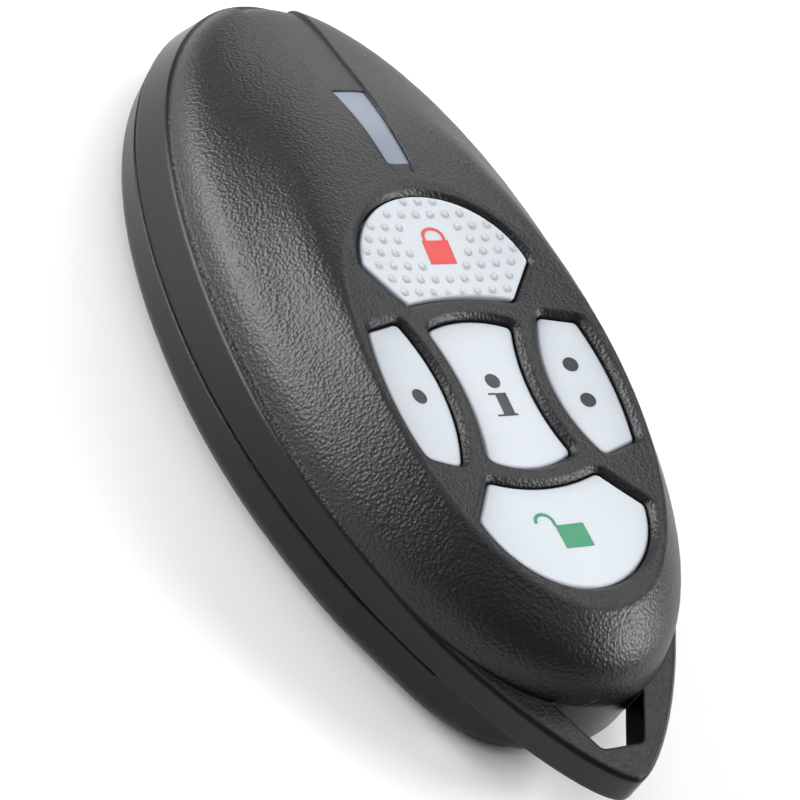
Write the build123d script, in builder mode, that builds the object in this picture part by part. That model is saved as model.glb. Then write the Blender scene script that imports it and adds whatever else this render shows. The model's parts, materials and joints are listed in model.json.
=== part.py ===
"""Alarm key fob: two moulded shells, five sprung keys, a light window and the electronics inside.

Millimetres. +Z points up out of the keys, +Y points to the light window, X runs across.
The origin is on the flat of the back cover, below the middle of the body.
"""

import os
from math import cos, radians, sin

from build123d import *

os.makedirs("parts", exist_ok=True)

# Field of keys, which sets the plan size of the body
key_field_half_width = 10.4
key_field_half_length = 17.75
key_field_y = -8.2

# Back cover and the coin cell that sets its depth
back_floor = 1.3
back_edge_radius = 2.0
cell_radius = 10.0
cell_height = 3.2
cell_y = -3.4
cell_edge_radius = 0.3
contact_gap = 0.05
contact_thickness = 0.25

# Overall body, as margins round the field of keys
side_margin = 7.7
end_margin = 20.65
half_width = key_field_half_width + side_margin
half_length = key_field_half_length + end_margin
shell_split_height = back_floor + contact_thickness + contact_gap + cell_height
wall = 1.4
fit_gap = 0.1
overrun = 1.0

# Plan outlines: shares of the length to the widest place, then of the handles of the nose and tail curves
body_egg_shares = (0.543, 0.46, 0.65, 0.555, 0.2)
shoulder_egg_shares = (0.51, 0.46, 0.67, 0.61, 0.16)
dome_egg_shares = (0.486, 0.44, 0.685, 0.62, 0.54)

# Band between the split line and the crease, and the key-ring tab behind it
shoulder_rise = 3.1
shoulder_lean = 1.2
shoulder_nose_lean = 1.4
tab_thickness = 2.7
tab_length = 6.0
tab_edge_chamfer = 0.3
tab_slope_start = 13.0
tab_slope_end = 7.0
shoulder_height = shell_split_height + shoulder_rise
shoulder_half_width = half_width - shoulder_lean
shoulder_nose = half_length - shoulder_nose_lean
tab_height = shell_split_height + tab_thickness

# Dome above the crease, from its foot to a crown drawn in from the field of keys.
# Rows of height share, then shares of the way from foot to crown at the side, nose and tail
dome_foot_drop = 0.2
dome_rise = 8.4
dome_side_inset = 1.6
dome_nose_inset = 1.6
crown_side_inset = 2.2
crown_nose_inset = 3.45
crown_tail_inset = 8.05
dome_level_shares = (
    (0.0, 0.0, 0.0, 0.0),
    (0.21, 0.088, 0.047, 0.027),
    (0.45, 0.292, 0.224, 0.117),
    (0.67, 0.5, 0.446, 0.318),
    (0.845, 0.71, 0.724, 0.636),
    (1.0, 1.0, 1.0, 1.0),
)
ridge_radius = 0.6
dome_foot_height = shoulder_height - dome_foot_drop
dome_half_width = half_width - dome_side_inset
dome_nose = half_length - dome_nose_inset
dome_tail = tab_length - half_length
crown_half_width = key_field_half_width - crown_side_inset
crown_nose = key_field_y + key_field_half_length - crown_nose_inset
crown_tail = key_field_y - key_field_half_length + crown_tail_inset

# Thumb dish that carries the keys
dish_centre_share = 0.518
dish_depth = 2.12
dish_nose_rise = 1.82
dish_side_rise = 0.98
dish_tool_height = 12.0
dish_tool_half_angle = 12.0
frame_thickness = 1.5
rim_chamfer = 0.4
cavity_inset = 1.4
cavity_drop = 1.5
dish_centre_y = key_field_y - dish_centre_share * key_field_half_length
dish_nose_reach = key_field_y + key_field_half_length - dish_centre_y
dish_long_radius = dish_nose_reach**2 / (2 * dish_nose_rise)
dish_cross_radius = key_field_half_width**2 / (2 * dish_side_rise)
dish_floor_height = dome_foot_height + dome_rise - dish_side_rise - dish_depth
dish_tool_half_width = half_width + 2 * overrun

# Keys: outlines as shares of the field of keys, each a run of arcs (3 points) and lines (2 points)
key_corner_radius = 0.7
key_side_gap = 0.15
key_lip = 0.45
key_lip_thickness = 0.8
key_lip_gap = 0.15
key_travel = 0.3
key_stem_radius = 1.3
key_edge_radius = 0.2
lock_outline_shares = (
    ((-0.75, 0.6225), (0.0, 1.0), (0.75, 0.6225)),
    ((0.75, 0.6225), (0.48, 0.428)),
    ((0.48, 0.428), (0.0, 0.4676), (-0.48, 0.428)),
    ((-0.48, 0.428), (-0.75, 0.6225)),
)
info_outline_shares = (
    ((-0.394, 0.3155), (0.0, 0.37), (0.394, 0.3155)),
    ((0.394, 0.3155), (0.298, 0.017), (0.385, -0.338)),
    ((0.385, -0.338), (0.0, -0.394), (-0.385, -0.338)),
    ((-0.385, -0.338), (-0.298, 0.017), (-0.394, 0.3155)),
)
side_outline_shares = (
    ((0.625, 0.3606), (0.935, 0.304)),
    ((0.935, 0.304), (0.99, -0.0056), (0.925, -0.332)),
    ((0.925, -0.332), (0.625, -0.3746)),
    ((0.625, -0.3746), (0.466, 0.0), (0.625, 0.3606)),
)
unlock_outline_shares = (
    ((0.48, -0.4394), (0.0, -0.4845), (-0.48, -0.4394)),
    ((-0.48, -0.4394), (-0.7356, -0.6366)),
    ((-0.7356, -0.6366), (0.0, -0.997), (0.7356, -0.6366)),
    ((0.7356, -0.6366), (0.48, -0.4394)),
)
lock_recess = 0.1
info_recess = 0.5
side_recess = 0.5
unlock_recess = 0.4
lock_switch_share = (0.0, 0.72)
info_switch_share = (0.0, -0.01)
side_switch_share = (0.72, -0.01)
unlock_switch_share = (0.0, -0.71)

# Light window and the shallow channel that runs from it over the nose
window_distance = 3.05
window_length = 9.1
window_near_half_width = 1.15
window_far_half_width = 1.55
window_gap = 0.05
window_recess = 0.1
window_lip = 0.6
window_lip_depth = 5.1
light_pipe_width = 1.6
light_pipe_length = 3.2
light_pipe_gap = 0.3
channel_lead = 1.0
channel_near_half_width = 0.9
channel_nose_half_width = 3.2
channel_drop = 0.08
channel_inset = 0.5
window_near_y = key_field_y + key_field_half_length + window_distance
window_far_y = window_near_y + window_length
window_lip_height = dome_foot_height + dome_rise - window_lip_depth
channel_near_y = window_near_y - channel_lead

# Key-ring hole, a rounded triangle behind the dome's foot
ring_hole_wide_half_width = 4.2
ring_hole_tip_half_width = 1.9
ring_hole_length = 4.2
ring_hole_margin = 2.8
ring_hole_corner_radius = 0.7
ring_hole_tip_y = ring_hole_margin - half_length
ring_hole_wide_y = ring_hole_tip_y + ring_hole_length

# Tail of the back cover, the groove along its rim and the tongue inside it
back_tail_inset = 0.4
back_tail_radius = 11.8
back_tail_half_angle = 63.5
split_groove_height = 0.4
split_groove_depth = 0.8
split_groove_lead = 6.0
tongue_depth = 1.2
tongue_thickness = 0.8
split_groove_end_y = dome_tail + split_groove_lead
back_tail = dome_tail + back_tail_inset

# Case screws, both on the centre line
nose_screw_inset = 9.5
tail_screw_inset = 4.2
screw_shank_radius = 1.0
screw_head_radius = 1.8
screw_head_height = 1.1
screw_head_recess = 0.3
screw_length = 7.7
screw_slot_width = 0.5
screw_slot_depth = 0.5
screw_pillar_radius = 3.0
screw_pillar_height = 3.2
front_boss_radius = 2.1
pilot_end_gap = 0.4
front_boss_roof = 2.0
thread_gap = 0.05
screw_ys = (half_length - nose_screw_inset, dome_tail + tail_screw_inset)
screw_tip_height = screw_head_recess + screw_length
front_boss_top = screw_tip_height + pilot_end_gap + front_boss_roof

# Circuit board and what seats it
board_clearance = 0.4
board_thickness = 1.0
board_side_inset = 3.9
board_nose_inset = 12.2
board_tail_inset = 7.0
board_post_radius = 1.2
board_peg_radius = 1.0
board_peg_length = 5.6
board_underside = shell_split_height + board_clearance
board_half_width = half_width - board_side_inset
board_nose = half_length - board_nose_inset
board_tail = dome_tail + board_tail_inset
board_post_shares = ((0.87, 0.14), (0.7, -0.64))

# Switches on the board
switch_length = 4.0
switch_width = 3.0
switch_height = 1.7
plunger_radius = 0.8
plunger_gap = 0.1
plunger_height = 1.0
plunger_rise = 0.4

# The coin cell's two contacts and its rib
negative_half_width = 2.0
negative_reach = 4.0
clip_half_width = 2.5
clip_leg_height = 1.8
clip_foot_length = 1.2
cell_rib_gap = 0.3
cell_rib_thickness = 0.8
cell_rib_height = 1.4

# Components: rows of x share, y share on the board
chip_height = 0.9
radio_size = 4.0
radio_share = (-0.5, 0.48)
controller_size = (5.0, 4.4)
controller_share = (0.5, 0.42)
crystal_size = (3.2, 2.5)
crystal_share = (-0.43, 0.67)
crystal_height = 0.8
status_led_size = (1.25, 2.0)
status_led_height = 0.8
antenna_inset = 0.8
antenna_width = 1.0
antenna_height = 0.15
antenna_reach = 15.8
small_chip_size = (1.6, 0.8)
capacitor_height = 0.8
resistor_height = 0.5
capacitor_shares = ((-0.22, 0.48), (-0.22, 0.58), (0.2, 0.5), (-0.55, 0.1), (0.55, 0.1), (-0.45, -0.6))
resistor_shares = ((0.27, 0.72), (-0.15, 0.74), (0.43, 0.64), (0.45, -0.6), (-0.45, -0.72), (0.45, -0.72))

# Heights that follow from the sizes above
board_top = board_underside + board_thickness
switch_top = board_top + switch_height
plunger_top = switch_top + plunger_rise
plunger_bottom = plunger_top - plunger_height
tongue_floor = shell_split_height - tongue_depth
full_height = dish_floor_height + dome_rise
window_middle_y = (window_near_y + window_far_y) / 2
board_middle_y = (board_nose + board_tail) / 2
board_half_length = (board_nose - board_tail) / 2


def egg(widest, nose, tail, egg_shares):
    """A closed egg of two curves a side, level across at its nose and tail and straight at its widest."""
    widest_share, nose_across, nose_along, tail_along, tail_across = egg_shares
    widest_y = tail + widest_share * (nose - tail)
    nose_handle_y = widest_y + nose_along * (nose - widest_y)
    tail_handle_y = widest_y - tail_along * (widest_y - tail)
    with BuildSketch() as outline:
        with BuildLine() as side:
            Bezier((0, nose), (nose_across * widest, nose), (widest, nose_handle_y), (widest, widest_y))
            Bezier((widest, widest_y), (widest, tail_handle_y), (tail_across * widest, tail), (0, tail))
            mirror(side.edges(), about=Plane.YZ)
        make_face()
    return outline.sketch


def body_egg(inset):
    return egg(half_width - inset, half_length - inset, inset - half_length, body_egg_shares)


def back_outline(inset):
    """The body's outline, closed at the tail by an arc that ends where the key-ring tab goes on."""
    turn = radians(back_tail_half_angle)
    radius = back_tail_radius - inset
    side_x = radius * sin(turn)
    side_y = back_tail + back_tail_radius - radius * cos(turn)
    far_x = side_x + 2 * half_length * cos(turn)
    far_y = side_y + 2 * half_length * sin(turn)
    with BuildSketch() as outline:
        add(body_egg(inset))
        with BuildLine():
            ThreePointArc((-side_x, side_y), (0, back_tail + inset), (side_x, side_y))
            Polyline((side_x, side_y), (far_x, far_y), (-far_x, far_y), (-side_x, side_y))
        make_face(mode=Mode.INTERSECT)
    return outline.sketch


def dome_egg(inset, side_share=0, nose_share=0, tail_share=0):
    """The dome's outline at shares of the way from its foot to its crown, drawn in by an inset."""
    return egg(
        dome_half_width + side_share * (crown_half_width - dome_half_width) - inset,
        dome_nose + nose_share * (crown_nose - dome_nose) - inset,
        dome_tail + tail_share * (crown_tail - dome_tail) + inset,
        dome_egg_shares,
    )


def dome_solid(inset, drop, floor):
    """The dome drawn in by an inset and lowered by a drop, on a straight foot that goes down to a floor."""
    foot = dome_foot_height - drop
    with BuildPart() as dome:
        for height_share, side_share, nose_share, tail_share in dome_level_shares:
            with BuildSketch(Plane.XY.offset(foot + height_share * dome_rise)):
                add(dome_egg(inset, side_share, nose_share, tail_share))
        loft()
        with BuildSketch(Plane.XY.offset(floor)):
            add(dome_egg(inset))
        extrude(amount=foot - floor)
    return dome.part


def above_dish(drop):
    """The space above the thumb dish, whose surface is lowered by a drop."""
    pivot_height = dish_floor_height - drop + dish_long_radius
    pivot = Plane(
        origin=(0, dish_centre_y, pivot_height),
        x_dir=(1, 0, 0),
        z_dir=(0, -cos(radians(dish_tool_half_angle)), sin(radians(dish_tool_half_angle))),
    )
    half = dish_tool_half_width
    side_rise = half**2 / (2 * dish_cross_radius)
    with BuildPart() as space:
        with BuildSketch(pivot):
            with BuildLine():
                Bezier(
                    (-half, side_rise - dish_long_radius),
                    (0, -side_rise - dish_long_radius),
                    (half, side_rise - dish_long_radius),
                )
                Polyline(
                    (half, side_rise - dish_long_radius),
                    (half, dish_tool_height - dish_long_radius),
                    (-half, dish_tool_height - dish_long_radius),
                    (-half, side_rise - dish_long_radius),
                )
            make_face()
        revolve(
            axis=Axis((0, dish_centre_y, pivot_height), (1, 0, 0)),
            revolution_arc=2 * dish_tool_half_angle,
        )
    return space.part


def dish_height(x, y):
    """The height of the dish surface over a point."""
    return dish_floor_height + (y - dish_centre_y) ** 2 / (2 * dish_long_radius) + x**2 / (2 * dish_cross_radius)


def key_face(outline_shares, side, grow=0):
    """One key opening with rounded corners, on one side of the centre line, grown all round by an amount."""
    with BuildSketch() as opening:
        with BuildLine():
            for run in outline_shares:
                points = [
                    (side * across * key_field_half_width, key_field_y + along * key_field_half_length)
                    for across, along in run
                ]
                if len(points) == 3:
                    ThreePointArc(*points)
                else:
                    Line(*points)
        make_face()
        fillet(opening.vertices(), key_corner_radius)
        if grow:
            offset(amount=grow, mode=Mode.REPLACE)
    # The grown outline is drawn again, so that every round stretch is a plain arc
    with BuildSketch() as redrawn:
        with BuildLine():
            for edge in opening.edges():
                if edge.geom_type == GeomType.LINE:
                    Line(edge @ 0, edge @ 1)
                else:
                    ThreePointArc(edge @ 0, edge @ (1 / 2), edge @ 1)
        make_face()
    return redrawn.sketch


def window_face(grow):
    """The light window's outline, narrow at the keys and wide at the nose, grown all round by an amount."""
    near_y = window_near_y - grow
    far_y = window_far_y + grow
    near_x = window_near_half_width + grow
    far_x = window_far_half_width + grow
    with BuildSketch() as outline:
        with BuildLine():
            Polyline((near_x, near_y), (far_x, far_y), (-far_x, far_y), (-near_x, near_y), (near_x, near_y))
        make_face()
    return outline.sketch


def column(face, floor, height):
    """A plan outline raised from a floor."""
    with BuildPart() as raised:
        with BuildSketch(Plane.XY.offset(floor)):
            add(face)
        extrude(amount=height)
    return raised.part


def key_pocket(outline_shares, side):
    """The space a key's lip needs inside the front cover, up to the underside of the frame."""
    with BuildPart() as pocket:
        add(column(key_face(outline_shares, side, key_lip + key_side_gap), plunger_top, full_height))
        add(above_dish(frame_thickness), mode=Mode.SUBTRACT)
    return pocket.part


def window_seat():
    """The wider lip of the light window, held against the inside of the front cover."""
    with BuildPart() as seat:
        add(column(window_face(window_lip), window_lip_height, full_height))
        add(dome_solid(cavity_inset, cavity_drop + fit_gap, window_lip_height), mode=Mode.INTERSECT)
    return seat.part


def board_place(share):
    """A place on the board from its shares of the board's half-width and half-length."""
    return (share[0] * board_half_width, board_middle_y + share[1] * board_half_length)


def finish(piece, label):
    """Name a finished piece and write it."""
    piece.part.label = label
    export_step(piece.part, "parts/" + label + ".step")


# Keys: name, outline, side of the centre line, place of the switch, depth below the dish
keys = (
    ("lock", lock_outline_shares, 1, lock_switch_share, lock_recess),
    ("info", info_outline_shares, 1, info_switch_share, info_recess),
    ("one_dot", side_outline_shares, -1, side_switch_share, side_recess),
    ("two_dot", side_outline_shares, 1, side_switch_share, side_recess),
    ("unlock", unlock_outline_shares, 1, unlock_switch_share, unlock_recess),
)
switch_places = {
    name: (side * share[0] * key_field_half_width, key_field_y + share[1] * key_field_half_length)
    for name, outline_shares, side, share, recess in keys
}
board_posts = [board_place((side * across, along)) for across, along in board_post_shares for side in (-1, 1)]

# The hollow of the front cover, under the dome and the dish and inside the tongue
hollow_outline = back_outline(wall + fit_gap + tongue_thickness)
with BuildPart() as front_hollow:
    add(column(hollow_outline, tongue_floor - overrun, full_height))
    add(dome_solid(cavity_inset, cavity_drop, tongue_floor - overrun), mode=Mode.INTERSECT)
    add(above_dish(frame_thickness), mode=Mode.SUBTRACT)
    for name, outline_shares, side, share, recess in keys:
        add(key_pocket(outline_shares, side))

# The shallow channel that the light window lies in
with BuildPart() as channel:
    with BuildSketch(Plane.XY.offset(tab_height)):
        with BuildLine():
            Polyline(
                (channel_near_half_width, channel_near_y),
                (channel_nose_half_width, shoulder_nose + overrun),
                (-channel_nose_half_width, shoulder_nose + overrun),
                (-channel_near_half_width, channel_near_y),
                (channel_near_half_width, channel_near_y),
            )
        make_face()
    extrude(amount=dome_rise)
    add(dome_solid(channel_inset, channel_drop, tab_height), mode=Mode.SUBTRACT)

with BuildPart() as front_cover:
    # Band that leans in from the split line to the crease, with the tab as its tail
    with BuildSketch(Plane.XY.offset(shell_split_height)):
        add(body_egg(0))
    with BuildSketch(Plane.XY.offset(shoulder_height)):
        add(egg(shoulder_half_width, shoulder_nose, -half_length, shoulder_egg_shares))
    loft()
    with BuildSketch(Plane.YZ):
        with BuildLine():
            Polyline(
                (dome_tail + tab_slope_start, shoulder_height),
                (dome_tail + tab_slope_end, tab_height),
                (-half_length - overrun, tab_height),
                (-half_length - overrun, shoulder_height + overrun),
                (dome_tail + tab_slope_start, shoulder_height + overrun),
                (dome_tail + tab_slope_start, shoulder_height),
            )
        make_face()
    extrude(amount=half_width, both=True, mode=Mode.SUBTRACT)
    tab_top = front_cover.faces().filter_by(Axis.Z).filter_by(
        lambda face: abs(face.center().Z - tab_height) < fit_gap
    )
    chamfer(tab_top.edges().filter_by(GeomType.LINE, reverse=True), tab_edge_chamfer)
    # Key-ring hole through the tab
    with BuildSketch(Plane.XY.offset(shell_split_height)) as ring_hole:
        with BuildLine():
            Polyline(
                (ring_hole_wide_half_width, ring_hole_wide_y),
                (ring_hole_tip_half_width, ring_hole_tip_y),
                (-ring_hole_tip_half_width, ring_hole_tip_y),
                (-ring_hole_wide_half_width, ring_hole_wide_y),
                (ring_hole_wide_half_width, ring_hole_wide_y),
            )
        make_face()
        fillet(ring_hole.vertices().group_by(Axis.Y)[0], ring_hole_corner_radius)
    extrude(amount=tab_height, mode=Mode.SUBTRACT)
    # Dome, dish and the key openings with their chamfered rims
    add(dome_solid(0, 0, shell_split_height))
    add(above_dish(0), mode=Mode.SUBTRACT)
    for name, outline_shares, side, share, recess in keys:
        add(column(key_face(outline_shares, side), plunger_top, full_height), mode=Mode.SUBTRACT)
    dish_face = front_cover.faces().filter_by(GeomType.REVOLUTION).sort_by(SortBy.AREA)[-1]
    chamfer([edge for rim in dish_face.inner_wires() for edge in rim.edges()], rim_chamfer)
    dish_face = front_cover.faces().filter_by(GeomType.REVOLUTION).sort_by(SortBy.AREA)[-1]
    fillet(dish_face.outer_wire().edges(), ridge_radius)
    # Channel and slot for the light window
    add(channel.part, mode=Mode.SUBTRACT)
    add(column(window_face(0), board_top, full_height), mode=Mode.SUBTRACT)
    # Tongue that drops inside the back cover, then the hollow
    add(column(back_outline(wall + fit_gap), tongue_floor, tongue_depth))
    add(front_hollow.part, mode=Mode.SUBTRACT)
    # Screw bosses and the pegs that hold the board down
    with BuildSketch(Plane.XY.offset(screw_pillar_height)):
        with Locations(*[(0, y) for y in screw_ys]):
            Circle(front_boss_radius)
    extrude(amount=front_boss_top - screw_pillar_height)
    with BuildSketch(Plane.XY.offset(screw_pillar_height)):
        with Locations(*[(0, y) for y in screw_ys]):
            Circle(screw_shank_radius + thread_gap)
    extrude(amount=screw_tip_height + pilot_end_gap - screw_pillar_height, mode=Mode.SUBTRACT)
    with BuildSketch(Plane.XY.offset(board_top)):
        with Locations(*board_posts):
            Circle(board_peg_radius)
    extrude(amount=board_peg_length)
finish(front_cover, "front_cover")

with BuildPart() as back_cover:
    with BuildSketch():
        add(back_outline(0))
    extrude(amount=shell_split_height)
    fillet(back_cover.faces().sort_by(Axis.Z)[0].edges(), back_edge_radius)
    with BuildSketch(Plane.XY.offset(back_floor)):
        add(back_outline(wall))
    extrude(amount=shell_split_height, mode=Mode.SUBTRACT)
    # Dark groove along the split line, which ends before the tail
    with BuildSketch(Plane.XY.offset(shell_split_height - split_groove_height)):
        add(back_outline(-overrun))
        add(back_outline(split_groove_depth), mode=Mode.SUBTRACT)
        with Locations((0, split_groove_end_y)):
            Rectangle(2 * half_length, half_length, align=(Align.CENTER, Align.MAX), mode=Mode.SUBTRACT)
    extrude(amount=shell_split_height, mode=Mode.SUBTRACT)
    # Screw pillars, board posts and the rib that keeps the cell in place
    with BuildSketch(Plane.XY.offset(back_floor)):
        with Locations(*[(0, y) for y in screw_ys]):
            Circle(screw_pillar_radius)
    extrude(amount=screw_pillar_height - back_floor)
    with BuildSketch(Plane.XY.offset(back_floor)):
        with Locations(*board_posts):
            Circle(board_post_radius)
    extrude(amount=board_underside - back_floor)
    with BuildSketch(Plane.XY.offset(back_floor)):
        with Locations((0, cell_y)):
            Circle(cell_radius + cell_rib_gap + cell_rib_thickness)
            Circle(cell_radius + cell_rib_gap, mode=Mode.SUBTRACT)
            Rectangle(2 * negative_half_width + 2 * cell_rib_gap, 4 * cell_radius, mode=Mode.SUBTRACT)
    extrude(amount=cell_rib_height)
    with Locations(*[(0, y, 0) for y in screw_ys]):
        with Locations(Rotation(180, 0, 0)):
            CounterBoreHole(
                radius=screw_shank_radius + fit_gap,
                counter_bore_radius=screw_head_radius + fit_gap,
                counter_bore_depth=screw_head_recess + screw_head_height,
                depth=screw_pillar_height,
            )
finish(back_cover, "back_cover")

with BuildPart() as case_screws:
    with BuildSketch(Plane.XY.offset(screw_head_recess)):
        with Locations(*[(0, y) for y in screw_ys]):
            Circle(screw_head_radius)
    extrude(amount=screw_head_height)
    with BuildSketch(Plane.XY.offset(screw_head_recess)):
        with Locations(*[(0, y) for y in screw_ys]):
            Circle(screw_shank_radius)
    extrude(amount=screw_tip_height - screw_head_recess)
    with BuildSketch(Plane.XY.offset(screw_head_recess)):
        with Locations(*[(0, y) for y in screw_ys]):
            Rectangle(2 * screw_shank_radius, screw_slot_width)
            Rectangle(screw_slot_width, 2 * screw_shank_radius)
    extrude(amount=screw_slot_depth, mode=Mode.SUBTRACT)
finish(case_screws, "case_screws")

with BuildPart() as led_window:
    add(column(window_face(-window_gap), window_lip_height, full_height))
    add(dome_solid(channel_inset, channel_drop + window_recess, window_lip_height), mode=Mode.INTERSECT)
    add(window_seat())
    pipe_foot = board_top + status_led_height + light_pipe_gap
    with BuildSketch(Plane.XY.offset(pipe_foot)):
        with Locations((0, window_middle_y)):
            Rectangle(light_pipe_width, light_pipe_length)
    extrude(amount=window_lip_height - pipe_foot)
finish(led_window, "led_window")

for name, outline_shares, side, share, recess in keys:
    x, y = switch_places[name]
    lip_top = frame_thickness + key_lip_gap
    with BuildPart() as key_cap:
        add(column(key_face(outline_shares, side, key_lip), plunger_top, full_height))
        add(above_dish(lip_top), mode=Mode.SUBTRACT)
        add(column(key_face(outline_shares, side, -key_side_gap), plunger_top, full_height))
        add(above_dish(recess), mode=Mode.SUBTRACT)
        add(above_dish(lip_top + key_lip_thickness), mode=Mode.INTERSECT)
        top_face = key_cap.faces().filter_by(GeomType.REVOLUTION).sort_by(Axis.Z)[-1]
        fillet(top_face.edges(), key_edge_radius)
        with BuildSketch(Plane.XY.offset(plunger_top)):
            with Locations((x, y)):
                Circle(key_stem_radius)
        extrude(amount=dish_height(x, y) - lip_top - key_lip_thickness / 2 - plunger_top)
    finish(key_cap, name + "_button")

    with BuildPart() as plunger:
        with BuildSketch(Plane.XY.offset(plunger_bottom)):
            with Locations((x, y)):
                Circle(plunger_radius)
        extrude(amount=plunger_height)
    finish(plunger, name + "_plunger")

    with BuildPart() as switch:
        with BuildSketch(Plane.XY.offset(board_top)):
            with Locations((x, y)):
                Rectangle(switch_length, switch_width)
        extrude(amount=switch_height)
        pocket_floor = plunger_bottom - key_travel - fit_gap
        with BuildSketch(Plane.XY.offset(pocket_floor)):
            with Locations((x, y)):
                Circle(plunger_radius + plunger_gap)
        extrude(amount=switch_top - pocket_floor, mode=Mode.SUBTRACT)
    finish(switch, name + "_switch")

with BuildPart() as circuit_board:
    with BuildSketch(Plane.XY.offset(board_underside)):
        add(egg(board_half_width, board_nose, board_tail, dome_egg_shares))
    extrude(amount=board_thickness)
finish(circuit_board, "circuit_board")

with BuildPart() as antenna_loop:
    with BuildSketch(Plane.XY.offset(board_top)):
        for mode, inset in ((Mode.ADD, antenna_inset), (Mode.SUBTRACT, antenna_inset + antenna_width)):
            add(
                egg(board_half_width - inset, board_nose - inset, board_tail + inset, dome_egg_shares),
                mode=mode,
            )
        with Locations((0, board_nose - antenna_reach)):
            Rectangle(2 * half_length, 2 * half_length, align=(Align.CENTER, Align.MAX), mode=Mode.SUBTRACT)
    extrude(amount=antenna_height)
finish(antenna_loop, "antenna_loop")

# Parts soldered to the board: name, plan size, height, places
chips = (
    ("radio_chip", (radio_size, radio_size), chip_height, (radio_share,)),
    ("controller_chip", controller_size, chip_height, (controller_share,)),
    ("crystal", crystal_size, crystal_height, (crystal_share,)),
    ("chip_capacitors", small_chip_size, capacitor_height, capacitor_shares),
    ("chip_resistors", small_chip_size, resistor_height, resistor_shares),
)
for label, plan_size, height, shares in chips:
    with BuildPart() as chip:
        with BuildSketch(Plane.XY.offset(board_top)):
            with Locations(*[board_place(share) for share in shares]):
                Rectangle(*plan_size)
        extrude(amount=height)
    finish(chip, label)

with BuildPart() as status_led:
    with BuildSketch(Plane.XY.offset(board_top)):
        with Locations((0, window_middle_y)):
            Rectangle(*status_led_size)
    extrude(amount=status_led_height)
finish(status_led, "status_led")

# Coin cell with the clip over it and the contact under it
cell_bottom = shell_split_height - cell_height
clip_x = cell_radius + fit_gap
with BuildPart() as coin_cell:
    with BuildSketch(Plane.XY.offset(cell_bottom)):
        with Locations((0, cell_y)):
            Circle(cell_radius)
    extrude(amount=cell_height)
    chamfer(coin_cell.edges().group_by(Axis.Z)[0], cell_edge_radius)
finish(coin_cell, "coin_cell")

with BuildPart() as cell_clip:
    with BuildSketch(Plane.XZ.offset(-cell_y - clip_half_width)):
        with BuildLine():
            Polyline(
                (clip_x, shell_split_height - clip_leg_height),
                (clip_x, shell_split_height),
                (-clip_x, shell_split_height),
                (-clip_x, shell_split_height - clip_leg_height),
                (-clip_x - contact_thickness, shell_split_height - clip_leg_height),
                (-clip_x - contact_thickness, shell_split_height),
                (-clip_x - clip_foot_length, shell_split_height),
                (-clip_x - clip_foot_length, board_underside),
                (clip_x + clip_foot_length, board_underside),
                (clip_x + clip_foot_length, shell_split_height),
                (clip_x + contact_thickness, shell_split_height),
                (clip_x + contact_thickness, shell_split_height - clip_leg_height),
                (clip_x, shell_split_height - clip_leg_height),
            )
        make_face()
    extrude(amount=2 * clip_half_width)
finish(cell_clip, "cell_clip")

contact_y = cell_y - cell_radius - 2 * cell_rib_gap
with BuildPart() as cell_contact:
    with BuildSketch(Plane.YZ.offset(-negative_half_width)):
        with BuildLine():
            Polyline(
                (cell_y + negative_reach, back_floor),
                (contact_y - contact_thickness, back_floor),
                (contact_y - contact_thickness, board_underside),
                (contact_y, board_underside),
                (contact_y, back_floor + contact_thickness),
                (cell_y + negative_reach, back_floor + contact_thickness),
                (cell_y + negative_reach, back_floor),
            )
        make_face()
    extrude(amount=2 * negative_half_width)
finish(cell_contact, "cell_contact")
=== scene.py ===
# %% [markdown]
# # The looks of an alarm key fob
# The fob is two moulded shells of black ABS, a smoked light window and five milky keys.
# The CAD model already has every real shape at its real size, so this lesson adds what CAD leaves out:
# the spark-eroded grain, the satin of the side band, milky plastic that lets light in, printed marks and
# the little raised dots that let a thumb find the top key in the dark.
# All lengths are in metres, in the same frame as the CAD model: Z is up, Y points to the light window.

import json
import math

import bmesh
import bpy
from mathutils import Matrix, Vector
from mathutils.bvhtree import BVHTree


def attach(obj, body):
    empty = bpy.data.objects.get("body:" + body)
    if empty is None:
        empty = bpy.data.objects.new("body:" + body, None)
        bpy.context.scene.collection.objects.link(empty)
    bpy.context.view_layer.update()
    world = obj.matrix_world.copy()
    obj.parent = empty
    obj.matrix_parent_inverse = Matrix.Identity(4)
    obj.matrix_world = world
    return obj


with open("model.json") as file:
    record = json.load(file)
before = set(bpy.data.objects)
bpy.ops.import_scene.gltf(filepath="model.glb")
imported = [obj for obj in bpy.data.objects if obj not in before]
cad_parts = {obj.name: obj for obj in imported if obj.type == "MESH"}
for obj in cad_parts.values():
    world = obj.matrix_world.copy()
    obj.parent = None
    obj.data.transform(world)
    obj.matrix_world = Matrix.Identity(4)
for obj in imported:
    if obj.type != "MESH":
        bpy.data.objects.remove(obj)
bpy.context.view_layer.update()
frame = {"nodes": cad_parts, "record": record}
nodes = frame["nodes"]
MM = 0.001
print("CAD nodes:", len(nodes))

# %% [markdown]
# ## Colours
# A colour picked from a sample is an sRGB value, but a shader works with linear light.
# One function turns the hex text of every colour into linear numbers, so no colour is written twice.


# %% Colour
def linear(hex_text):
    """The linear RGBA of an sRGB hex colour."""
    shares = [int(hex_text[at : at + 2], 16) / 255 for at in (1, 3, 5)]
    rgb = [share / 12.92 if share <= 0.04045 else ((share + 0.055) / 1.055) ** 2.4 for share in shares]
    return (*rgb, 1.0)


print("mid grey is", round(linear("#808080")[0], 3), "in linear light")

# %% [markdown]
# ## Material helpers
# Every finish is a small net of shader nodes. One function adds a node, sets it and wires it up: each
# input is a plain value, a socket, or a node whose first output feeds it. Patterns are laid out in object
# space, where one unit is one metre. A grain that measures 0.27 mm on the real mould therefore gets a
# scale of one over 0.00027.


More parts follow.
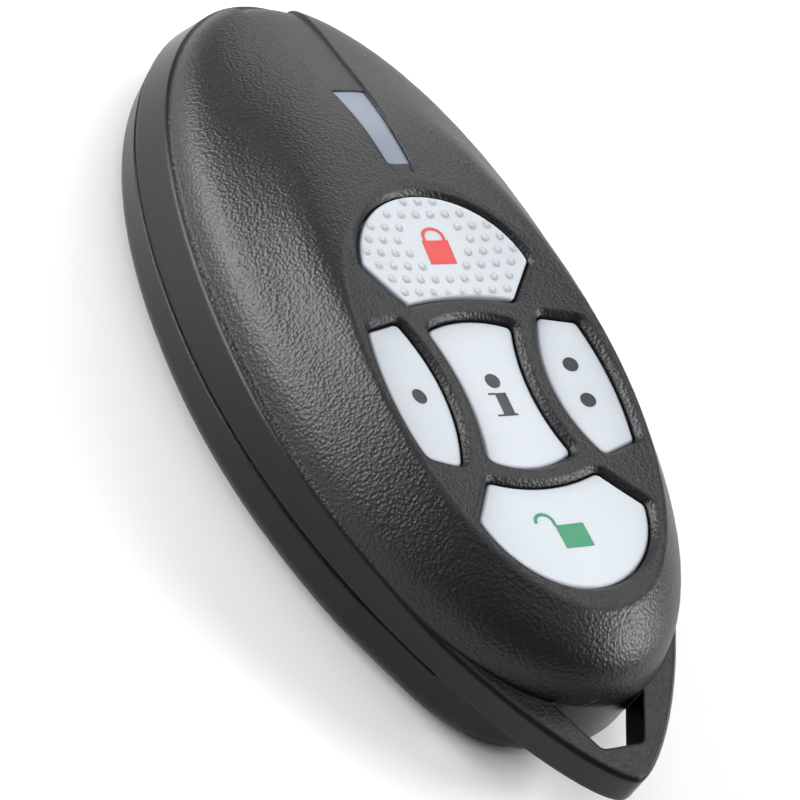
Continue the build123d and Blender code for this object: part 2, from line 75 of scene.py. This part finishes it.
# %% Node helper
def feed(tree, node, inputs):
    """Sets a node's inputs, each to a plain value, a socket or the first output of a node."""
    for name, value in inputs.items():
        if isinstance(value, bpy.types.Node):
            value = value.outputs[0]
        if isinstance(value, bpy.types.NodeSocket):
            tree.links.new(value, node.inputs[name])
        else:
            node.inputs[name].default_value = value


def add_node(tree, kind, inputs, **settings):
    """Adds a node with its inputs and its settings."""
    made = tree.nodes.new(kind)
    for name, value in settings.items():
        setattr(made, name, value)
    feed(tree, made, inputs)
    return made


def new_finish(name):
    """An empty material with its tree, its Principled BSDF and the place of each point."""
    material = bpy.data.materials.new(name)
    material.use_nodes = True
    tree = material.node_tree
    place = add_node(tree, "ShaderNodeTexCoord", {}).outputs["Object"]
    return material, tree, tree.nodes["Principled BSDF"], place


print("a grain of 0.27 mm has a scale of", round(1 / (0.27 * MM)))

# %% [markdown]
# Moulded edges are never sharp, and handling polishes them. Cutting a round into every edge of the mesh
# would take many faces, so a bevel node rounds the shading normal near an edge instead. How far it turns
# from the true normal tells how close the edge is, so it also maps the wear.

# %% Edges
SMOOTH = {"interpolation_type": "SMOOTHSTEP"}
BEVEL_SAMPLES = 4
FLAT_MATCH, EDGE_MATCH = 0.99, 0.8


def edge_wear(tree, radius):
    """The wear, 0 on flat stretches and rising to 1 on edges, and the bevelled normal."""
    soft = add_node(tree, "ShaderNodeBevel", {"Radius": radius}, samples=BEVEL_SAMPLES)
    true = add_node(tree, "ShaderNodeNewGeometry", {}).outputs["Normal"]
    match = add_node(tree, "ShaderNodeVectorMath", {0: soft, 1: true}, operation="DOT_PRODUCT")
    ends = {"From Min": EDGE_MATCH, "From Max": FLAT_MATCH, "To Min": 1.0, "To Max": 0.0}
    wear = add_node(tree, "ShaderNodeMapRange", {"Value": match.outputs["Value"], **ends}, **SMOOTH)
    return wear, soft


print("wear is full where the normals match by less than", EDGE_MATCH)

# %% [markdown]
# ## Black ABS with a spark-eroded grain
# The mould of the front cover is eroded by sparks, which leaves overlapping craters about 0.27 mm wide.
# They scatter the light into a dull sheen full of bright specks. The leaning band under the crease comes
# from a smoother part of the mould, so the grain fades out below it. Handling polishes the ridge and the
# rims of the key openings: there the surface is a little smoother, so it catches the light more sharply.
# Craters cut into the mesh would take millions of faces, so cells and noise tilt the shading instead.

# %% Front cover finish
COVER_EDGE_RADIUS = 0.35 * MM
GRAIN_RELIEF = 0.035 * MM
GRAIN_DETAIL = 1.0
SATIN_RELIEF_SHARE = 0.12
SATIN_ROUGHNESS, GRAIN_ROUGHNESS = 0.32, 0.43
SATIN_SHINE, GRAIN_SHINE = 0.26, 0.4
WORN_GLOSS = 0.08
ABS_IOR = 1.54
# A Mix node has sockets for plain values, vectors and colours side by side: these are its colours.
MIX_FIRST, MIX_SECOND, MIX_RESULT = 6, 7, 2
DARK_TONE, PALE_TONE = "#0b0b0f", "#0f0f14"
TONE_SIZE = 6 * MM
TONE_DETAIL = 3.0
CREASE_FADE = 0.1 * MM
LEVEL_START, LEVEL_FULL = 0.8, 0.95


def grained_abs(name, crease_height, grain_size):
    """Black ABS, grained above a height or where it faces up, and satin elsewhere."""
    material, tree, shader, place = new_finish(name)
    worn, soft_normal = edge_wear(tree, COVER_EDGE_RADIUS)
    height = add_node(tree, "ShaderNodeSeparateXYZ", {0: place}).outputs["Z"]
    up = add_node(tree, "ShaderNodeSeparateXYZ", {0: soft_normal}).outputs["Z"]
    band = {"Value": height, "From Min": crease_height - CREASE_FADE, "From Max": crease_height}
    level = {"Value": up, "From Min": LEVEL_START, "From Max": LEVEL_FULL}
    above = add_node(tree, "ShaderNodeMapRange", band, **SMOOTH)
    faces_up = add_node(tree, "ShaderNodeMapRange", level, **SMOOTH)
    grained = add_node(tree, "ShaderNodeMath", {0: above, 1: faces_up}, operation="MAXIMUM")

    cells = {"Vector": place, "Scale": 1 / grain_size}
    craters = add_node(tree, "ShaderNodeTexVoronoi", cells)
    ripples = add_node(tree, "ShaderNodeTexNoise", {**cells, "Detail": GRAIN_DETAIL})
    relief = add_node(tree, "ShaderNodeMath", {0: craters, 1: ripples}, operation="ADD")
    deeper = {"Value": grained, "To Min": SATIN_RELIEF_SHARE}
    depth = add_node(tree, "ShaderNodeMapRange", deeper, **SMOOTH)
    bumps = {"Height": relief, "Strength": depth, "Distance": GRAIN_RELIEF, "Normal": soft_normal}
    bump = add_node(tree, "ShaderNodeBump", bumps)

    tones = {"Vector": place, "Scale": 1 / TONE_SIZE, "Detail": TONE_DETAIL}
    tone = add_node(tree, "ShaderNodeTexNoise", tones)
    colours = {0: tone, MIX_FIRST: linear(DARK_TONE), MIX_SECOND: linear(PALE_TONE)}
    base = add_node(tree, "ShaderNodeMix", colours, data_type="RGBA").outputs[MIX_RESULT]
    duller = {"Value": grained, "To Min": SATIN_ROUGHNESS, "To Max": GRAIN_ROUGHNESS}
    dull = add_node(tree, "ShaderNodeMapRange", duller, **SMOOTH)
    polish = add_node(tree, "ShaderNodeMath", {0: worn, 1: WORN_GLOSS}, operation="MULTIPLY")
    rough = add_node(tree, "ShaderNodeMath", {0: dull, 1: polish}, operation="SUBTRACT")
    brighter = {"Value": grained, "To Min": SATIN_SHINE, "To Max": GRAIN_SHINE}
    shine = add_node(tree, "ShaderNodeMapRange", brighter, **SMOOTH)
    feed(tree, shader, {"Base Color": base, "Roughness": rough, "Normal": bump})
    feed(tree, shader, {"Specular IOR Level": shine, "IOR": ABS_IOR})
    return material


CREASE_HEIGHT = 7.8 * MM
OUT_OF_REACH = 1.0
CRATER_SIZE, SATIN_GRAIN_SIZE = 0.27 * MM, 0.06 * MM
grain = grained_abs("Black ABS, spark-eroded grain", CREASE_HEIGHT, CRATER_SIZE)
satin = grained_abs("Black ABS, satin moulded", OUT_OF_REACH, SATIN_GRAIN_SIZE)
print("made", grain.name, "and", satin.name)

# %% [markdown]
# ## Milky plastics
# The keys are moulded in a translucent white plastic that spreads the light inside it by about a
# millimetre, so their edges glow a little instead of going dark. The light window is a smoked,
# bluish version of the same idea with a smoother skin. Clear transmission would show the insides, so
# light that scatters under the skin is the truer way.

# %% Milky plastic
MILKY_EDGE_RADIUS = 0.15 * MM
SKIN_GRAIN = 0.08 * MM
SKIN_RELIEF = 0.004 * MM
SKIN_STRENGTH = 0.5
MILKY_DETAIL = 2.0
EDGE_GLOSS = 0.06
MILKY_IOR = 1.5
GLOW_COLOUR_REACH = (1.0, 1.0, 1.1)


def milky(name, light_hex, deep_hex, roughness, glow, scatter, tone_size):
    """A translucent moulded plastic with a faint fine skin and slow change of tone."""
    material, tree, shader, place = new_finish(name)
    worn, soft_normal = edge_wear(tree, MILKY_EDGE_RADIUS)
    tones = {"Vector": place, "Scale": 1 / tone_size, "Detail": MILKY_DETAIL}
    skin = {"Vector": place, "Scale": 1 / SKIN_GRAIN, "Detail": MILKY_DETAIL}
    tone = add_node(tree, "ShaderNodeTexNoise", tones)
    relief = add_node(tree, "ShaderNodeTexNoise", skin)
    colours = {0: tone, MIX_FIRST: linear(light_hex), MIX_SECOND: linear(deep_hex)}
    base = add_node(tree, "ShaderNodeMix", colours, data_type="RGBA").outputs[MIX_RESULT]
    bumps = {"Distance": SKIN_RELIEF, "Strength": SKIN_STRENGTH, "Normal": soft_normal}
    bump = add_node(tree, "ShaderNodeBump", {"Height": relief, **bumps})
    glossier = {"Value": worn, "To Min": roughness, "To Max": roughness - EDGE_GLOSS}
    rough = add_node(tree, "ShaderNodeMapRange", glossier, **SMOOTH)
    feed(tree, shader, {"Base Color": base, "Roughness": rough, "Normal": bump, "IOR": MILKY_IOR})
    feed(tree, shader, {"Subsurface Weight": glow, "Subsurface Scale": scatter})
    feed(tree, shader, {"Subsurface Radius": GLOW_COLOUR_REACH})
    return material


KEY_GLOW, KEY_SCATTER = 0.6, 0.7 * MM
WINDOW_GLOW, WINDOW_SCATTER = 0.4, 0.4 * MM
key_plastic = milky(
    "Translucent white ABS, moulded", "#c0c6cb", "#b9c0c7", 0.34, KEY_GLOW, KEY_SCATTER, 5 * MM
)
window_plastic = milky(
    "Smoked polycarbonate, moulded", "#5f6979", "#737e8f", 0.3, WINDOW_GLOW, WINDOW_SCATTER, 4 * MM
)
print("made", key_plastic.name, "and", window_plastic.name)

# %% [markdown]
# ## The parts inside
# The electronics are closed in, but each has its own finish: glass-epoxy board under green solder mask,
# plated copper, moulded epoxy chips, drawn and stamped steel. Plain plastics and metals differ only in
# a few numbers, so one function makes them all. Drawn metals stretch their noise along one axis.

# %% Plain finishes
FINE_EDGE_RADIUS = 0.08 * MM
PLAIN_STRENGTH = 0.6
PLAIN_DETAIL = 3.0
PATTERN_LOW, PATTERN_HIGH = 0.3, 0.7
GLOSSIER, DULLER = 0.05, 0.08
PLAIN_WORN_GLOSS = 0.1
DRAWN_ALONG_X, DRAWN_ALONG_Y = (0.1, 1, 1), (1, 0.1, 1)
EVEN = (1, 1, 1)


def plain(
    name,
    hex_text,
    roughness,
    metal=0.0,
    pattern=0.2 * MM,
    depth=0.004 * MM,
    stretch=EVEN,
    fleck_share=0.75,
):
    """A plain finish with a fine pattern in its colour, its gloss and its relief."""
    material, tree, shader, place = new_finish(name)
    worn, soft_normal = edge_wear(tree, FINE_EDGE_RADIUS)
    lie = add_node(tree, "ShaderNodeMapping", {"Vector": place, "Scale": stretch})
    flecks = {"Vector": lie, "Scale": 1 / pattern, "Detail": PLAIN_DETAIL}
    fleck = add_node(tree, "ShaderNodeTexNoise", flecks)
    colour = linear(hex_text)
    darker = (*[fleck_share * part for part in colour[:3]], 1.0)
    colours = {0: fleck, MIX_FIRST: darker, MIX_SECOND: colour}
    base = add_node(tree, "ShaderNodeMix", colours, data_type="RGBA").outputs[MIX_RESULT]
    bumps = {"Distance": depth, "Strength": PLAIN_STRENGTH, "Normal": soft_normal}
    bump = add_node(tree, "ShaderNodeBump", {"Height": fleck, **bumps})
    ends = {"From Min": PATTERN_LOW, "From Max": PATTERN_HIGH}
    duller = {"To Min": roughness - GLOSSIER, "To Max": roughness + DULLER}
    dull = add_node(tree, "ShaderNodeMapRange", {"Value": fleck, **ends, **duller}, **SMOOTH)
    polish = add_node(tree, "ShaderNodeMath", {0: worn, 1: PLAIN_WORN_GLOSS}, operation="MULTIPLY")
    rough = add_node(tree, "ShaderNodeMath", {0: dull, 1: polish}, operation="SUBTRACT")
    feed(tree, shader, {"Base Color": base, "Roughness": rough, "Normal": bump, "Metallic": metal})
    return material


inner_finishes = {
    "plunger_plastic": plain("Acetal, moulded black", "#2a2a2b", 0.4),
    "switch_body": plain("Glass-filled nylon, moulded", "#343436", 0.5, pattern=0.1 * MM),
    "board_laminate": plain("Glass epoxy, green solder mask", "#1d5c37", 0.3, pattern=0.4 * MM),
    "copper_track": plain("Copper, gold flashed", "#d8a657", 0.28, 1.0, pattern=0.1 * MM),
    "chip_epoxy": plain("Moulded epoxy", "#232325", 0.55, pattern=0.08 * MM),
    "can_steel": plain("Steel can, drawn", "#c9cac8", 0.3, 1.0, 0.1 * MM, stretch=DRAWN_ALONG_Y),
    "led_resin": plain("Light-emitting diode resin", "#ecead9", 0.2),
    "ceramic_chip": plain("Fired ceramic", "#b0956c", 0.5, pattern=0.1 * MM),
    "cell_steel": plain(
        "Stainless steel, satin", "#cfd0cf", 0.32, 1.0, 0.1 * MM, stretch=DRAWN_ALONG_X
    ),
    "spring_steel": plain("Spring steel, stamped and nickel plated", "#d6d2c6", 0.28, 1.0, 0.1 * MM),
    "screw_steel": plain("Steel screw, zinc plated", "#b9bcc0", 0.33, 1.0, 0.08 * MM),
}
print("made", len(inner_finishes), "finishes for the parts inside")

# %% [markdown]
# ## A finish for every CAD node
# Each node takes the finish of its material slot in the record, so a part can be repainted by slot.


# %% Finishes on the CAD nodes
finishes = {
    "black_abs_grained": grain,
    "black_abs_satin": satin,
    "smoked_window": window_plastic,
    "key_plastic": key_plastic,
    **inner_finishes,
}
node_slots = {row["node"]: row["material_slot"] for row in frame["record"]["subparts"]}
for name, node in nodes.items():
    node.data.materials.clear()
    node.data.materials.append(finishes[node_slots[name]])
print("finished", len(node_slots), "nodes")

# %% [markdown]
# ## Printed marks
# Each key carries a small pad-printed sign: a closed red padlock, an open green one, one dot, two dots and
# the usual mark for information. Ink lies on the plastic as a film a few hundredths of a millimetre
# thick. A picture laid on the key would blur from close by, so each mark is a thin mesh that follows the
# curved key. It is drawn as strips: rows of a left and a right point. Rays sent straight down find the
# height of the key under every point.

# %% Heights on the keys
RAY_START = 20 * MM
DOWN = Vector((0, 0, -1))


def surface(node_name):
    """A function that gives the height of a CAD node's top over a place, or None beside it."""
    mesh = nodes[node_name].data
    points = [vertex.co for vertex in mesh.vertices]
    tree = BVHTree.FromPolygons(points, [list(face.vertices) for face in mesh.polygons])

    def height(x, y):
        hit = tree.ray_cast(Vector((x, y, RAY_START)), DOWN)[0]
        return hit.z if hit else None

    return height


def add_piece(name, bm, material, body):
    """Turns a bmesh into a piece with a material that rides on a body."""
    mesh = bpy.data.meshes.new(name)
    bmesh.ops.recalc_face_normals(bm, faces=bm.faces)
    bm.to_mesh(mesh)
    bm.free()
    mesh.materials.append(material)
    made = bpy.data.objects.new(name, mesh)
    bpy.context.scene.collection.objects.link(made)
    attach(made, body)


lock_height = surface("lock_button")
print("the top key stands", round(lock_height(0, 4 * MM) / MM, 2), "mm high")

# %% [markdown]
# The film is 0.03 mm thick and its lower face sinks into the key, so no gap shows at a low angle.

# %% Strips of ink
FILM_TOP = 0.012 * MM
FILM_DEPTH = 0.03 * MM
STRIP_COLUMNS = 8


def ink_strip(bm, rows, height):
    """Adds one strip of ink: rows of a left and a right point in millimetres, laid on the key."""
    grid = []
    for (left_x, left_y), (right_x, right_y) in rows:
        line = []
        for column in range(STRIP_COLUMNS + 1):
            share = column / STRIP_COLUMNS
            x = (left_x + share * (right_x - left_x)) * MM
            y = (left_y + share * (right_y - left_y)) * MM
            top = height(x, y) + FILM_TOP
            line.append((bm.verts.new((x, y, top)), bm.verts.new((x, y, top - FILM_DEPTH))))
        grid.append(line)
    for low, high in zip(grid, grid[1:]):
        for column in range(STRIP_COLUMNS):
            a, b, c, d = low[column], low[column + 1], high[column + 1], high[column]
            bm.faces.new((a[0], b[0], c[0], d[0]))
            bm.faces.new((d[1], c[1], b[1], a[1]))
    for line in (grid[0], grid[-1]):
        for a, b in zip(line, line[1:]):
            bm.faces.new((a[0], a[1], b[1], b[0]))
    for side in (0, -1):
        for low, high in zip(grid, grid[1:]):
            a, b = low[side], high[side]
            bm.faces.new((a[0], b[0], b[1], a[1]))


print("a strip of ink stands", round(FILM_TOP / MM, 3), "mm proud of the key")

# %% [markdown]
# Three kinds of rows draw every sign: a disc, a rectangle and the shackle of a padlock. A disc's first and
# last row keep a little width, so that no face shrinks to a point.

# %% Rows for the signs
DISC_END = 0.02


def disc_rows(x, y, radius, steps=20):
    """Rows that fill a disc, thin at its bottom and top."""
    rows = []
    for step in range(steps + 1):
        angle = math.pi * (DISC_END + (1 - 2 * DISC_END) * step / steps)
        half, along = radius * math.sin(angle), -radius * math.cos(angle)
        rows.append(((x - half, y + along), (x + half, y + along)))
    return rows


def box_rows(left, right, low, high, steps=4):
    """Rows that fill a rectangle."""
    ys = [low + (high - low) * step / steps for step in range(steps + 1)]
    return [((left, y), (right, y)) for y in ys]


def shackle_rows(x, foot_left, foot_right, spring, half, rise, thick, steps=24):
    """Rows along a padlock's shackle: a left leg, an arch and a right leg."""
    rows = [((x - half, foot_left), (x - half + thick, foot_left))]
    for step in range(steps + 1):
        angle = math.pi * (1 - step / steps)
        across, along = math.cos(angle), math.sin(angle)
        outer = (x + half * across, spring + rise * along)
        inner = (x + (half - thick) * across, spring + (rise - thick) * along)
        rows.append((outer, inner))
    rows.append(((x + half, foot_right), (x + half - thick, foot_right)))
    return rows


print("a disc has", len(disc_rows(0, 0, 1)), "rows and a rectangle", len(box_rows(0, 1, 0, 1)))

# %% [markdown]
# The marks are placed in millimetres, measured from the photograph on the curved key tops.
# The inks are a warm red, a mid green and a soft black, all slightly duller than the plastic.

# %% The marks
RED, GREEN, SOFT_BLACK = "#d9352d", "#148a60", "#181b1f"
INK_ROUGHNESS = 0.38
INK_PATTERN, INK_RELIEF = 0.3 * MM, 0.002 * MM
SPOT_RADIUS = 0.64
closed_padlock = [
    box_rows(-1.1, 1.3, 3.14, 5.3),
    shackle_rows(0.1, 5.28, 5.28, 5.6, 1.05, 0.9, 0.28),
]
open_padlock = [
    box_rows(-0.92, 1.58, -22.23, -20.2),
    shackle_rows(-1.68, -19.88, -20.22, -19.9, 0.92, 0.85, 0.26),
]
information = [
    disc_rows(0.05, -7.2, SPOT_RADIUS),
    box_rows(-0.29, 0.7, -10.3, -8.3, 6),
    box_rows(-0.9, -0.28, -8.42, -8.26, 2),
    box_rows(-0.92, 0.94, -10.36, -10.2, 2),
]
one_spot = [disc_rows(-7.4, -8.5, SPOT_RADIUS)]
two_spots = [disc_rows(7.47, y, SPOT_RADIUS) for y in (-6.5, -9.8)]
marks = {
    "lock_mark": ("lock", RED, closed_padlock),
    "unlock_mark": ("unlock", GREEN, open_padlock),
    "info_mark": ("info", SOFT_BLACK, information),
    "one_dot_mark": ("one_dot", SOFT_BLACK, one_spot),
    "two_dot_mark": ("two_dot", SOFT_BLACK, two_spots),
}
for mark_name, (key, hex_text, strips) in marks.items():
    ink_name = "Pad-printing ink " + hex_text
    ink = plain(ink_name, hex_text, INK_ROUGHNESS, pattern=INK_PATTERN, depth=INK_RELIEF)
    bm = bmesh.new()
    key_height = surface(key + "_button")
    for rows in strips:
        ink_strip(bm, rows, key_height)
    add_piece(mark_name, bm, ink, key + "_key")
print("printed", len(marks), "marks")

# %% [markdown]
# ## Raised dots
# The top key is covered with low round dots, about 0.8 mm across and 1.4 mm apart, in staggered rows.
# They reach close to the rim, where they are a little smaller, and leave the padlock clear. A dot is kept
# only where the key is smooth and present all round it, which the rays can tell. A thumb feels them and
# their outlines show, so they are a mesh and not only a bump in the material. All their sizes and places
# are in millimetres.

# %% Room for a dot
DOT_RIM = 0.03
DOT_DROP = 0.3
DOT_PROBES = 8
CLEAR_X, CLEAR_Y = 0.1, 4.75
CLEAR_HALF_WIDTH, CLEAR_HALF_LENGTH = 2.25, 2.75


def dot_fits(x, y, radius):
    """True if the key's top lies smoothly all round a dot, away from the padlock."""
    if math.hypot((x - CLEAR_X) / CLEAR_HALF_WIDTH, (y - CLEAR_Y) / CLEAR_HALF_LENGTH) < 1:
        return False
    middle = lock_height(x * MM, y * MM)
    reach = radius + DOT_RIM
    for probe in range(DOT_PROBES):
        angle = math.tau * probe / DOT_PROBES
        edge = lock_height((x + reach * math.cos(angle)) * MM, (y + reach * math.sin(angle)) * MM)
        if middle is None or edge is None or abs(edge - middle) > DOT_DROP * MM:
            return False
    return True


print("a large dot fits beside the padlock:", dot_fits(4, 5, 0.42))
print("a large dot fits on the padlock:", dot_fits(CLEAR_X, CLEAR_Y, 0.42))

# %% [markdown]
# A dot is a low dome whose height falls from its middle to its rim like a cosine. The rim sinks a little
# into the key and a flat root closes the mesh below it. Each place takes the largest radius that fits.

# %% Dots on the top key
DOT_RADII = (0.42, 0.38, 0.34, 0.3)
DOT_RISE = 0.11
DOT_PITCH = 1.36
DOT_SINK = 0.01
DOT_ROOT = 0.04
DOT_ROWS, DOT_COLUMNS = 12, 8
FIRST_ROW_Y = -0.6


def add_dot(bm, x, y, radius, rings=5, sides=16):
    """Adds one low round dot whose rim lies in the key and whose root ends inside it."""
    cap = bm.verts.new((x * MM, y * MM, lock_height(x * MM, y * MM) + DOT_RISE * MM))
    previous = None
    for ring in range(1, rings + 1):
        share = ring / rings
        lift = DOT_RISE * (1 + math.cos(share * math.pi)) / 2 - DOT_SINK * share
        loop = []
        for side in range(sides):
            angle = math.tau * side / sides
            point_x = (x + radius * share * math.cos(angle)) * MM
            point_y = (y + radius * share * math.sin(angle)) * MM
            loop.append(bm.verts.new((point_x, point_y, lock_height(point_x, point_y) + lift * MM)))
        for side in range(sides):
            after = (side + 1) % sides
            if previous is None:
                face = bm.faces.new((cap, loop[side], loop[after]))
            else:
                face = bm.faces.new((previous[side], loop[side], loop[after], previous[after]))
            face.smooth = True
        previous = loop
    root = [bm.verts.new((rim.co.x, rim.co.y, rim.co.z - DOT_ROOT * MM)) for rim in previous]
    for side in range(sides):
        after = (side + 1) % sides
        bm.faces.new((previous[side], root[side], root[after], previous[after]))
    bm.faces.new(list(reversed(root)))


bm = bmesh.new()
dots = 0
for row in range(DOT_ROWS):
    for column in range(-DOT_COLUMNS, DOT_COLUMNS + 1):
        x = (column + 0.5 * (row % 2)) * DOT_PITCH
        y = FIRST_ROW_Y + row * DOT_PITCH * math.sqrt(3) / 2
        fitting = [radius for radius in DOT_RADII if dot_fits(x, y, radius)]
        if fitting:
            add_dot(bm, x, y, fitting[0])
            dots += 1
add_piece("lock_key_dots", bm, key_plastic, "lock_key")
print("raised", dots, "dots")

# %% [markdown]
# ## Camera
# The photograph looks down at the fob from beside its tail, with the camera rolled so that the fob runs
# from top left to bottom right. The three rows are the camera's right, up and backward directions.

# %% Camera
CAMERA_PLACE = Vector((-111.93, -96.08, 132.73)) * MM
CAMERA_RIGHT = (0.8199, -0.3885, 0.4206)
CAMERA_UP = (0.0538, 0.7836, 0.619)
CAMERA_BACK = (-0.57, -0.4849, 0.6633)
LENS, SENSOR_WIDTH = 113.76, 36.0
NEAREST = 10 * MM
camera = bpy.data.objects.new("camera", bpy.data.cameras.new("camera"))
bpy.context.scene.collection.objects.link(camera)
turn = Matrix((CAMERA_RIGHT, CAMERA_UP, CAMERA_BACK)).transposed()
camera.matrix_world = Matrix.Translation(CAMERA_PLACE) @ turn.to_4x4()
camera.data.lens = LENS
camera.data.sensor_width = SENSOR_WIDTH
camera.data.clip_start = NEAREST
bpy.context.scene.camera = camera
print("camera stands", round(CAMERA_PLACE.length / MM), "mm from the fob")

# %% [markdown]
# ## Light and floor
# A pale matt floor and large soft lamps, as in a small product studio. Black plastic shows its shape
# only by what it mirrors, so each lamp is a big rectangle placed where one surface should catch it:
# one low lamp for the grained flank, one behind the nose, one over the tail and a weak one for the faces
# that look up. The ceiling lamp fills the floor and the keys and hardly shows in the black.

# %% Lamps
def lamp(name, place, aim, width, height, power):
    """A soft rectangular lamp at a place in millimetres, turned to the point that it lights."""
    light = bpy.data.lights.new(name, "AREA")
    light.shape = "RECTANGLE"
    light.size, light.size_y = width * MM, height * MM
    light.energy = power
    made = bpy.data.objects.new(name, light)
    bpy.context.scene.collection.objects.link(made)
    made.location = Vector(place) * MM
    made.rotation_mode = "QUATERNION"
    made.rotation_quaternion = (Vector(aim) - Vector(place)).to_track_quat("-Z", "Y")
    return made


MIDDLE, TAIL = (0, 0, 8), (0, -20, 8)
lamps = [
    lamp("ceiling lamp", (0, 0, 900), MIDDLE, 900, 900, 3.2),
    lamp("flank lamp", (-315, 275, 160), MIDDLE, 330, 160, 2.8),
    lamp("nose lamp", (200, 360, 190), MIDDLE, 280, 220, 0.55),
    lamp("tail lamp", (340, -200, 215), TAIL, 170, 140, 1.75),
    lamp("top lamp", (285, 140, 320), TAIL, 160, 160, 0.4),
]
FILL_STRENGTH = 0.08
world = bpy.data.worlds.new("studio")
world.use_nodes = True
background = world.node_tree.nodes["Background"]
background.inputs["Color"].default_value = linear("#ffffff")
background.inputs["Strength"].default_value = FILL_STRENGTH
bpy.context.scene.world = world
bpy.context.scene.view_settings.view_transform = "Standard"
print("lit by", len(lamps), "lamps")

# %% [markdown]
# The floor is a wide matt board. It lies a hundredth of a millimetre under the fob, so that the board and
# the flat of the back never share one plane.

# %% Floor
FLOOR_HALF = 1.5
FLOOR_DROP = 0.01 * MM
CORNER_SIGNS = ((-1, -1), (1, -1), (1, 1), (-1, 1))
board = plain(
    "Matt white board", "#f7f7f7", 0.9, pattern=0.4 * MM, depth=0.002 * MM, fleck_share=0.98
)
floor_mesh = bmesh.new()
corners = [(x * FLOOR_HALF, y * FLOOR_HALF, -FLOOR_DROP) for x, y in CORNER_SIGNS]
floor_mesh.faces.new([floor_mesh.verts.new(corner) for corner in corners])
floor = bpy.data.objects.new("floor", bpy.data.meshes.new("floor"))
floor_mesh.to_mesh(floor.data)
floor_mesh.free()
floor.data.materials.append(board)
bpy.context.scene.collection.objects.link(floor)
print("the floor is", 2 * FLOOR_HALF, "m wide")
